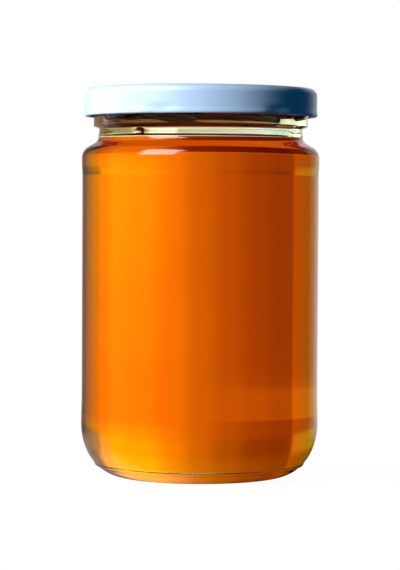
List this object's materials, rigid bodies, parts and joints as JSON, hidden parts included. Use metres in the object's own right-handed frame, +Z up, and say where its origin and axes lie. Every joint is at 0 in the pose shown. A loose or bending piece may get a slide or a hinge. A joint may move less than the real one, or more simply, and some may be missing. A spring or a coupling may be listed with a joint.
{
  "type": "honey jar",
  "caption": "Round clear glass jar with a rounded heel, short shoulder and wide mouth, filled with amber honey and shut with a low white twist-off lid.",
  "frame": {"origin": "centre of the bearing ring's plane, where the jar's axis meets the table", "axes": "+Z up along the jar's axis, front of the picture towards -Y"},
  "size_m": [0.087, 0.087, 0.142],
  "materials": {
    "glass": "clear, smooth",
    "honey": "clear amber liquid",
    "lid_lacquer": "white gloss lacquer"
  },
  "bodies": {
    "root": {"glass_jar": "glass", "honey": "honey", "lid": "lid_lacquer"}
  },
  "joints": []
}
